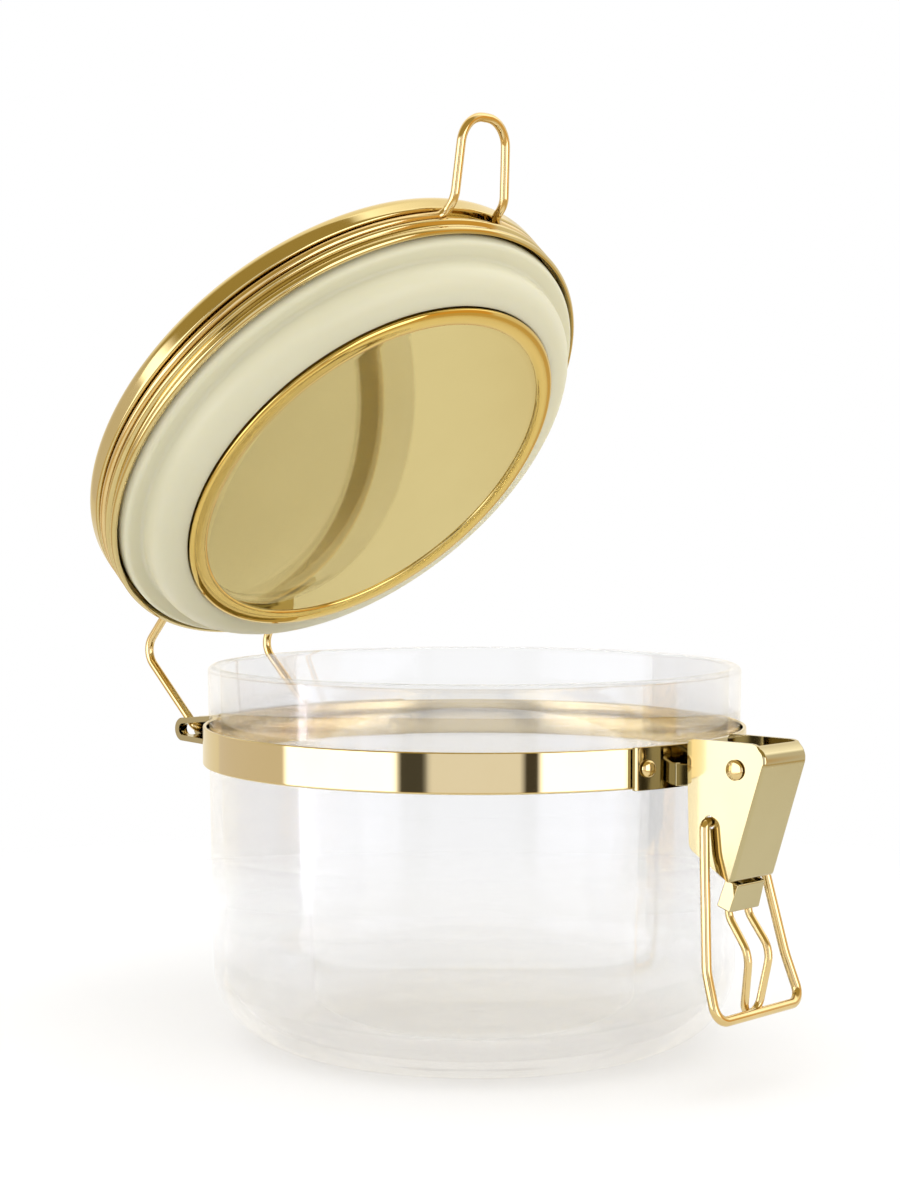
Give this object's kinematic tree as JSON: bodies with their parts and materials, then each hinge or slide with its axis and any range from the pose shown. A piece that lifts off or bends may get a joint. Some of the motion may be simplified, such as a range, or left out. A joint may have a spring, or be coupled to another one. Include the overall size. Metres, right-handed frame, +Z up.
{
  "type": "clamp-lid canister",
  "caption": "Round clear canister with a gold metal lid on a wire hinge, a cream seal and a lever latch with a wire catch link.",
  "frame": {"origin": "centre of the jar's flat base, on the jar's axis", "axes": "+Z up along the jar's axis; the latch is towards -Y, the hinge towards +Y, and +X is to the right seen from the latch"},
  "size_m": [0.1206, 0.1696, 0.1964],
  "materials": {
    "acrylic": "clear moulded acrylic, polished",
    "gold_plate": "bright gold plate on formed sheet",
    "polished_gold": "mirror-polished gold plate",
    "gold_wire": "gold-plated 2 mm wire and rivets",
    "silicone": "translucent cream silicone, satin"
  },
  "bodies": {
    "jar": {"jar_body": "acrylic", "neck_band": "gold_plate", "hinge_bracket": "gold_plate", "hinge_rivet_left": "gold_wire", "hinge_rivet_right": "gold_wire", "latch_bracket": "gold_plate", "latch_rivet_left": "gold_wire", "latch_rivet_right": "gold_wire"},
    "lid": {"lid_cover": "gold_plate", "lid_plate": "polished_gold", "lid_gasket": "silicone", "lid_wire": "gold_wire"},
    "lever": {"latch_lever": "gold_plate", "lever_pin": "gold_wire", "loop_clip": "gold_plate", "finger_loop": "gold_wire"},
    "link": {"catch_link": "gold_wire"}
  },
  "joints": [
    {"name": "lid_hinge", "type": "hinge", "parent": "jar", "child": "lid", "pos_m": [0, 0.0705, 0.062], "axis": [-1, 0, 0], "range_deg": [-47.5, 55]},
    {"name": "lever_pivot", "type": "hinge", "parent": "jar", "child": "lever", "pos_m": [0, -0.0745, 0.0632], "axis": [-1, 0, 0], "range_deg": [0, 121]},
    {"name": "link_pivot", "type": "hinge", "parent": "lever", "child": "link", "pos_m": [0, -0.0684, 0.0526], "axis": [1, 0, 0], "range_deg": [-177.5, 0]}
  ]
}
